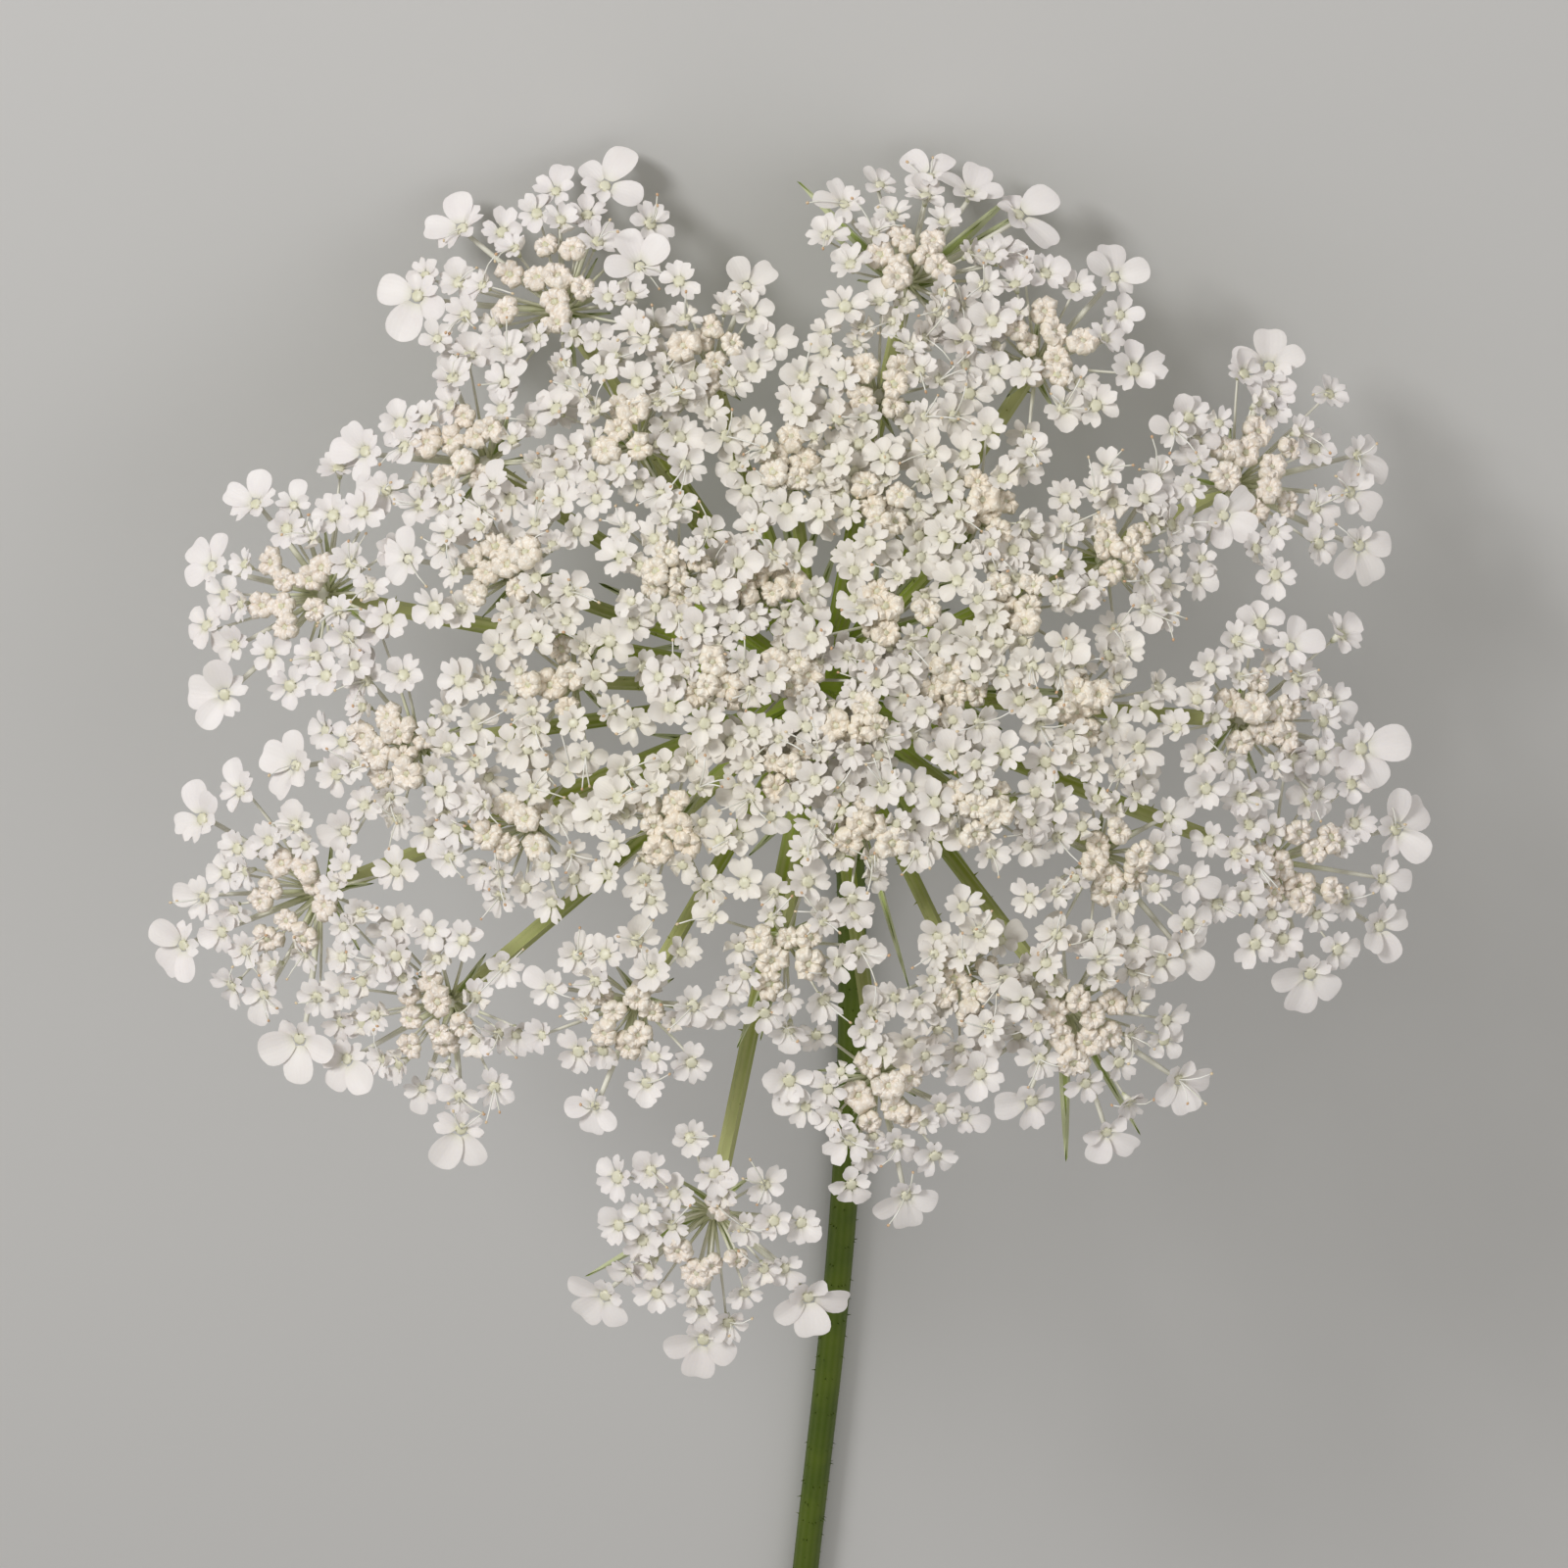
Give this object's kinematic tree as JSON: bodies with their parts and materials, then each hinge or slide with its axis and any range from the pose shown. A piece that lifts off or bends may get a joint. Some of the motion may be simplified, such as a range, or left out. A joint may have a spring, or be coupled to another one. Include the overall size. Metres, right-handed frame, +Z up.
{
  "type": "carrot flower",
  "caption": "Cut wild carrot flower lying down: a curved ridged stem, green rays and bracts, and a flat white head of small umbellets of florets and buds.",
  "frame": {"origin": "centre of the bounding box's bottom face, on the table that the flower lies on", "axes": "+Z up from the table; +Y from the stem's cut end towards the flower head; +X to the right of the head as its face is seen with the stem hanging down in the picture"},
  "size_m": [0.1032, 0.1716, 0.0581],
  "materials": {
    "stem_green": "fresh green plant stem, matt, finely ridged",
    "bract_green": "fresh green leaf, matt",
    "petal_white": "soft matt white petals with cream buds"
  },
  "bodies": {
    "root": {"stem": "stem_green", "involucre": "bract_green", "umbellet_01": "petal_white", "umbellet_02": "petal_white", "umbellet_03": "petal_white", "umbellet_04": "petal_white", "umbellet_05": "petal_white", "umbellet_06": "petal_white", "umbellet_07": "petal_white", "umbellet_08": "petal_white", "umbellet_09": "petal_white", "umbellet_10": "petal_white", "umbellet_11": "petal_white", "umbellet_12": "petal_white", "umbellet_13": "petal_white", "umbellet_14": "petal_white", "umbellet_15": "petal_white", "umbellet_16": "petal_white", "umbellet_17": "petal_white", "umbellet_18": "petal_white", "umbellet_19": "petal_white", "umbellet_20": "petal_white", "umbellet_21": "petal_white", "umbellet_22": "petal_white", "umbellet_23": "petal_white", "umbellet_24": "petal_white", "umbellet_25": "petal_white", "umbellet_26": "petal_white", "umbellet_27": "petal_white", "umbellet_28": "petal_white", "umbellet_29": "petal_white", "umbellet_30": "petal_white", "umbellet_31": "petal_white", "umbellet_32": "petal_white", "umbellet_33": "petal_white", "umbellet_34": "petal_white", "umbellet_35": "petal_white", "umbellet_36": "petal_white", "umbellet_37": "petal_white", "umbellet_38": "petal_white", "umbellet_39": "petal_white", "umbellet_40": "petal_white", "umbellet_41": "petal_white"}
  },
  "joints": []
}
